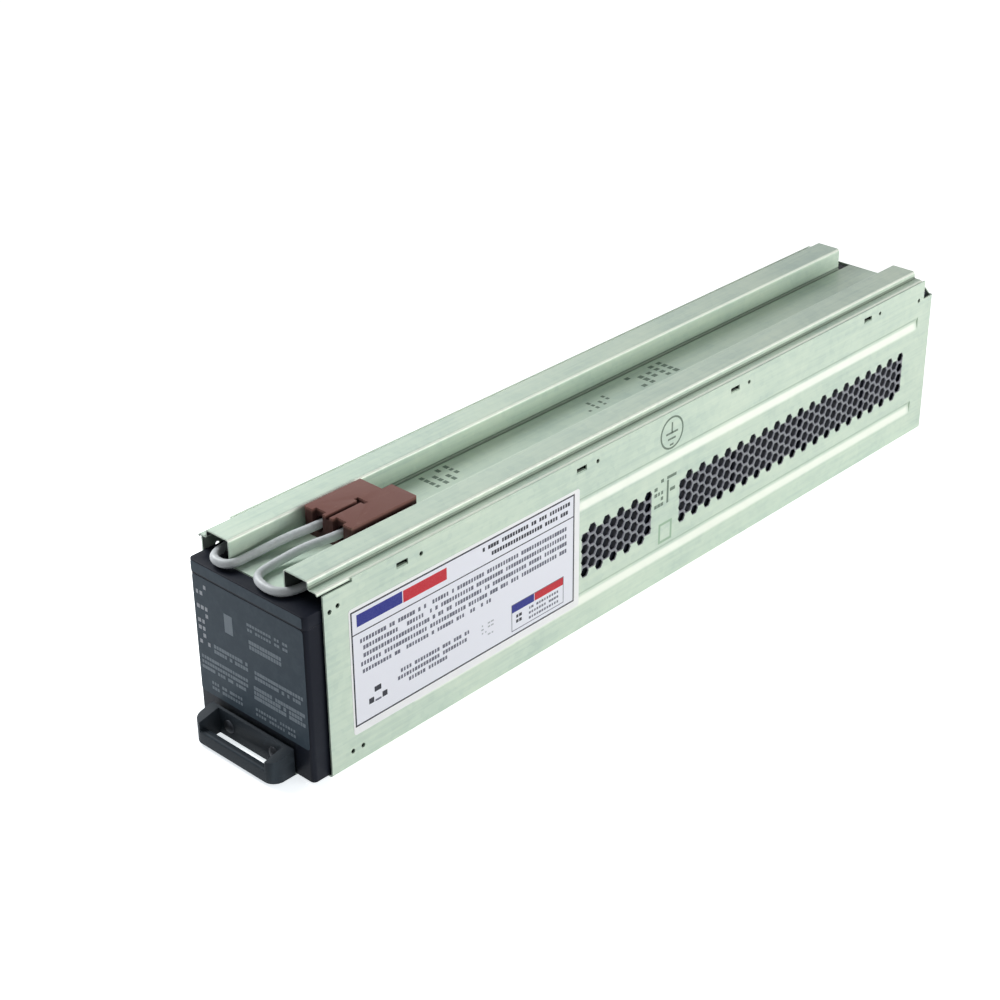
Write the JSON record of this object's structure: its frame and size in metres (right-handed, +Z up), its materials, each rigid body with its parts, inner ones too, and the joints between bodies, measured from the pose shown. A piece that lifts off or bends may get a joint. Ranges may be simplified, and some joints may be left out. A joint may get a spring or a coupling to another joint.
{
  "type": "ups battery pack",
  "caption": "Long galvanised battery tray with honeycomb vents, a double-rail cover, a row of sealed batteries, a black pull handle and two leads to a brown two-pole connector.",
  "frame": {"origin": "middle of the underside of the box round the rigid pieces, on the ground under the tray", "axes": "+Z up, the row of batteries along Y with the pull handle at -Y and the closed rear wall at +Y, +X the wall with the large label"},
  "size_m": [0.0942, 0.5806, 0.1189],
  "materials": {
    "galvanised_steel": "zinc coated sheet with a pale green cast, softly glossy",
    "battery_plastic": "near-black moulded plastic with a fine grain",
    "terminal_tin": "tin plated blades",
    "link_insulation": "black wire insulation",
    "lead_insulation": "light grey flexible insulation",
    "connector_plastic": "brown moulded plastic",
    "contact_silver": "silver plated copper",
    "handle_plastic": "black moulded plastic, fine grain",
    "rivet_metal": "blackened rivets",
    "label_film": "pale printed film with a thin dark frame",
    "front_film": "slate coloured printed film",
    "foam": "dark closed-cell foam"
  },
  "bodies": {
    "root": {"tray": "galvanised_steel", "top_cover": "galvanised_steel", "battery_1_container": "battery_plastic", "battery_2_container": "battery_plastic", "battery_3_container": "battery_plastic", "battery_4_container": "battery_plastic", "battery_5_container": "battery_plastic", "battery_6_container": "battery_plastic", "battery_7_container": "battery_plastic", "battery_8_container": "battery_plastic", "battery_1_lid": "battery_plastic", "battery_2_lid": "battery_plastic", "battery_3_lid": "battery_plastic", "battery_4_lid": "battery_plastic", "battery_5_lid": "battery_plastic", "battery_6_lid": "battery_plastic", "battery_7_lid": "battery_plastic", "battery_8_lid": "battery_plastic", "battery_1_terminals": "terminal_tin", "battery_2_terminals": "terminal_tin", "battery_3_terminals": "terminal_tin", "battery_4_terminals": "terminal_tin", "battery_5_terminals": "terminal_tin", "battery_6_terminals": "terminal_tin", "battery_7_terminals": "terminal_tin", "battery_8_terminals": "terminal_tin", "link_1": "link_insulation", "link_2": "link_insulation", "link_3": "link_insulation", "link_4": "link_insulation", "link_5": "link_insulation", "link_6": "link_insulation", "link_7": "link_insulation", "positive_lead": "lead_insulation", "negative_lead": "lead_insulation", "positive_tail": "lead_insulation", "negative_tail": "lead_insulation", "connector_housing": "connector_plastic", "connector_contact_positive": "contact_silver", "connector_contact_negative": "contact_silver", "handle": "handle_plastic", "handle_rivets": "rivet_metal", "side_label": "label_film", "battery_front_label": "front_film", "rear_pad": "foam"}
  },
  "joints": []
}
